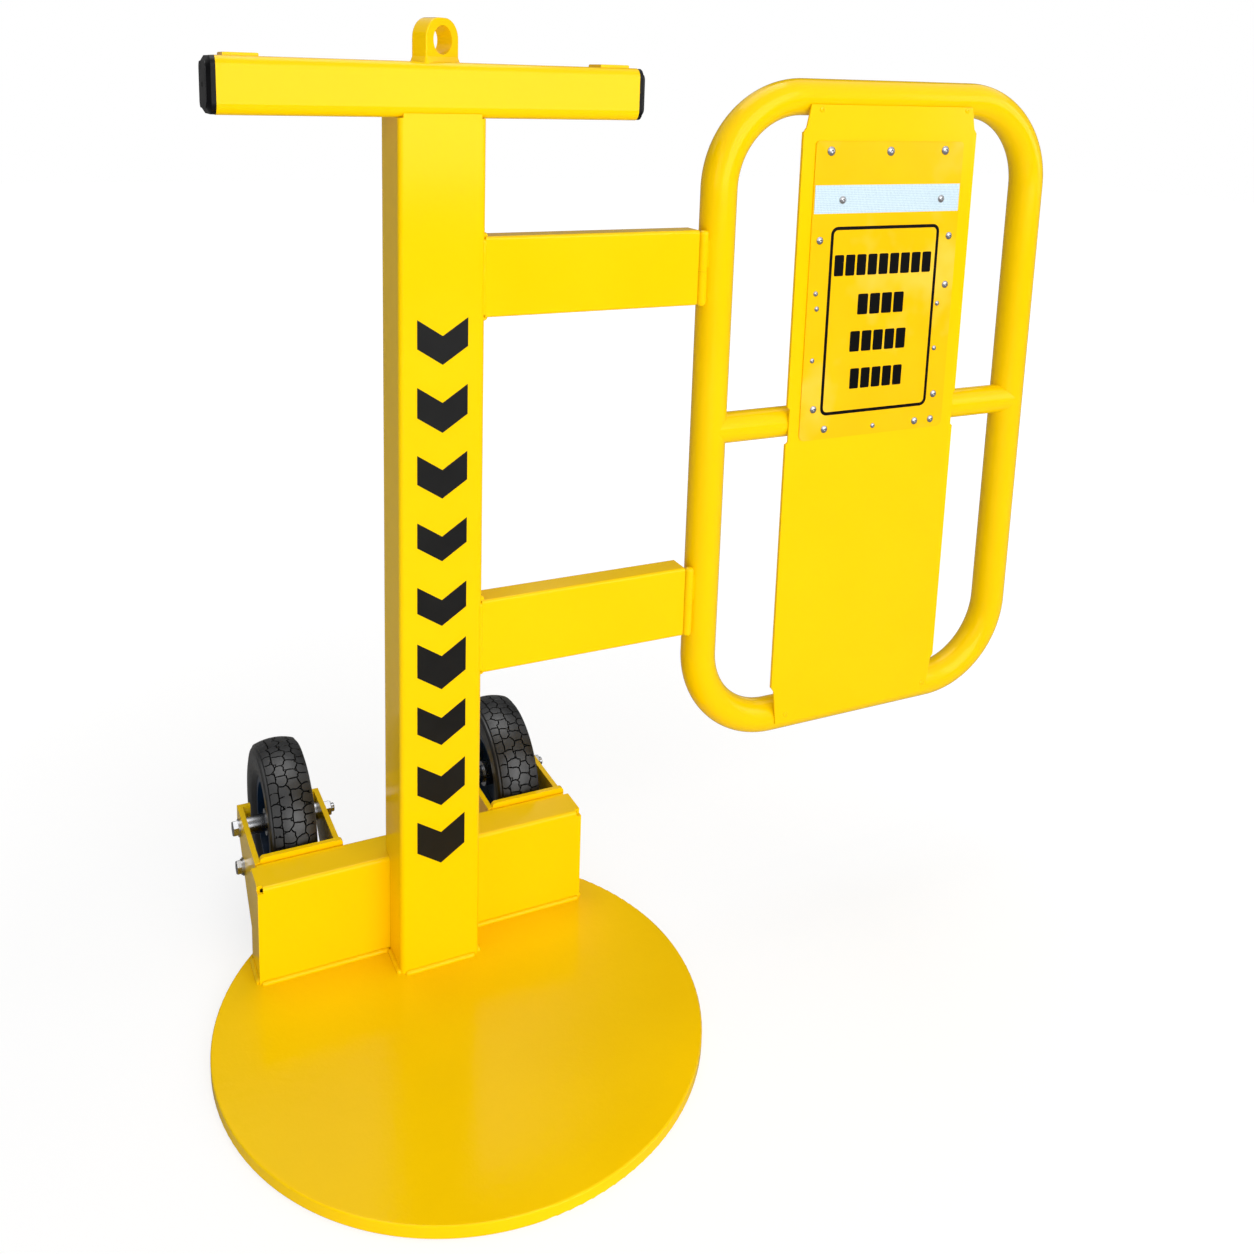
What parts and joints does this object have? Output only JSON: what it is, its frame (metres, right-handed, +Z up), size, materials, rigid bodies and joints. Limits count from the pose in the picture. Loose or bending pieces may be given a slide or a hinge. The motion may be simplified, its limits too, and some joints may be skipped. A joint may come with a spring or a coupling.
{
  "type": "mobile swing gate",
  "caption": "Free-standing swing gate: round base disc, square post with crossbar and lifting lug, arms carrying a hinged tube leaf with a sign panel, and wheels behind for moving it.",
  "frame": {"origin": "centre of the base disc's underside, on the ground", "axes": "+X from the post toward the gate leaf, +Y toward the wheels behind, +Z up"},
  "size_m": [1.2262, 0.723, 1.225],
  "materials": {
    "yellow_paint": "glossy powder coat",
    "sign_yellow": "glossy sign sheet",
    "reflective_film": "retroreflective film",
    "zinc": "zinc plated",
    "black_plastic": "moulded satin",
    "tyre_rubber": "moulded rubber",
    "blue_paint": "dark blue paint"
  },
  "bodies": {
    "stand": {"base_disc": "yellow_paint", "post": "yellow_paint", "post_cap": "yellow_paint", "base_beam": "yellow_paint", "base_welds": "yellow_paint", "crossbar": "yellow_paint", "crossbar_welds": "yellow_paint", "end_caps": "black_plastic", "bar_pads": "yellow_paint", "lifting_lug": "yellow_paint", "lug_weld": "yellow_paint", "lower_arm": "yellow_paint", "upper_arm": "yellow_paint", "arm_end_plates": "yellow_paint", "arm_welds": "yellow_paint", "hinge_lower_knuckles": "yellow_paint", "hinge_pins": "zinc", "hinge_washers": "yellow_paint", "hinge_arm_welds": "yellow_paint", "left_bracket": "yellow_paint", "right_bracket": "yellow_paint", "axle_bolts": "zinc", "axle_nuts": "zinc", "axle_washers": "zinc", "spacer_tubes": "zinc", "stop_bolts": "zinc", "stop_nuts": "zinc", "stop_washers": "zinc"},
    "leaf": {"hoop_lower_left_bend": "yellow_paint", "hoop_left_tube": "yellow_paint", "hoop_upper_left_bend": "yellow_paint", "hoop_top_tube": "yellow_paint", "hoop_upper_right_bend": "yellow_paint", "hoop_right_tube": "yellow_paint", "hoop_lower_right_bend": "yellow_paint", "hoop_bottom_tube": "yellow_paint", "mid_rail": "yellow_paint", "centre_panel": "yellow_paint", "panel_left_return": "yellow_paint", "panel_right_return": "yellow_paint", "sign_plate": "sign_yellow", "reflective_strip": "reflective_film", "sign_rivets": "zinc", "small_rivets": "zinc", "strip_rivets": "zinc", "panel_rivets": "yellow_paint", "hinge_upper_knuckles": "yellow_paint", "hinge_leaf_welds": "yellow_paint"},
    "left_wheel": {"left_tyre": "tyre_rubber", "left_rim": "blue_paint", "left_rim_disc": "blue_paint", "left_hub": "zinc", "left_bearings": "zinc"},
    "right_wheel": {"right_tyre": "tyre_rubber", "right_rim": "blue_paint", "right_rim_disc": "blue_paint", "right_hub": "zinc", "right_bearings": "zinc"}
  },
  "joints": [
    {"name": "leaf_swing", "type": "hinge", "parent": "stand", "child": "leaf", "pos_m": [0.351, 0.0886, 0.46], "axis": [0, 0, -1], "range_deg": [-25, 120]},
    {"name": "left_wheel_roll", "type": "hinge", "parent": "stand", "child": "left_wheel", "pos_m": [-0.16, 0.313, 0.1305], "axis": [1, 0, 0], "continuous": true},
    {"name": "right_wheel_roll", "type": "hinge", "parent": "stand", "child": "right_wheel", "pos_m": [0.16, 0.313, 0.1305], "axis": [1, 0, 0], "continuous": true}
  ]
}
